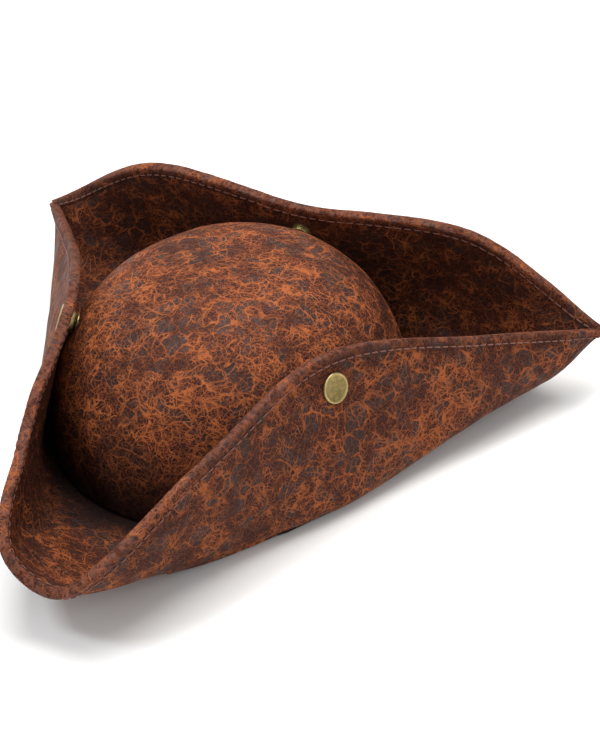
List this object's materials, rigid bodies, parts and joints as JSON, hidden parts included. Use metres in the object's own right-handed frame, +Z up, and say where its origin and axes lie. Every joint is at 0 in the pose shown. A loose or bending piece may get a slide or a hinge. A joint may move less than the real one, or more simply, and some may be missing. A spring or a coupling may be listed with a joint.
{
  "type": "tricorn pirate hat",
  "caption": "Soft tricorn pirate hat with a low dome crown and a bound brim turned up in three flaps, each held to the crown by a press stud.",
  "frame": {"origin": "middle of the head opening, at the level of the surface the hat stands on", "axes": "+Z up, the front tip points to -Y, +X is the wearer's left"},
  "size_m": [0.3256, 0.3007, 0.0907],
  "materials": {
    "crown_leather": "distressed, crackled, soft gloss",
    "upper_leather": "distressed, crackled, darker inside the fold",
    "under_leather": "distressed, crackled",
    "binding_leather": "worn pale along the ridge",
    "felt": "matt pressed felt",
    "lining_cloth": "matt woven cloth",
    "sweatband_leather": "smooth, satin",
    "antique_brass": "aged, brushed, bright on the rim",
    "worn_brass": "aged"
  },
  "bodies": {
    "crown": {"crown_shell": "crown_leather", "crown_stiffener": "felt", "crown_lining": "lining_cloth", "sweatband": "sweatband_leather", "brim_upper_leather": "upper_leather", "brim_felt": "felt", "brim_under_leather": "under_leather", "front_tip_binding": "binding_leather", "left_tip_binding": "binding_leather", "right_tip_binding": "binding_leather", "left_stud": "worn_brass", "right_stud": "worn_brass", "back_stud": "worn_brass", "left_stud_rivet": "worn_brass", "right_stud_rivet": "worn_brass", "back_stud_rivet": "worn_brass"},
    "left_flap": {"left_flap_upper_leather": "upper_leather", "left_flap_felt": "felt", "left_flap_under_leather": "under_leather", "left_flap_binding": "binding_leather", "left_flap_cap": "antique_brass", "left_flap_socket": "worn_brass"},
    "right_flap": {"right_flap_upper_leather": "upper_leather", "right_flap_felt": "felt", "right_flap_under_leather": "under_leather", "right_flap_binding": "binding_leather", "right_flap_cap": "antique_brass", "right_flap_socket": "worn_brass"},
    "back_flap": {"back_flap_upper_leather": "upper_leather", "back_flap_felt": "felt", "back_flap_under_leather": "under_leather", "back_flap_binding": "binding_leather", "back_flap_cap": "antique_brass", "back_flap_socket": "worn_brass"}
  },
  "joints": [
    {"name": "left_flap_fold", "type": "hinge", "parent": "crown", "child": "left_flap", "pos_m": [0.08829, -0.04695, -0.00198], "axis": [0.4695, 0.8829, 0], "range_deg": [0, 30]},
    {"name": "right_flap_fold", "type": "hinge", "parent": "crown", "child": "right_flap", "pos_m": [-0.08829, -0.04695, -0.00198], "axis": [0.4695, -0.8829, 0], "range_deg": [0, 30]},
    {"name": "back_flap_fold", "type": "hinge", "parent": "crown", "child": "back_flap", "pos_m": [0, 0.114, -0.00198], "axis": [-1, 0, 0], "range_deg": [0, 30]}
  ]
}
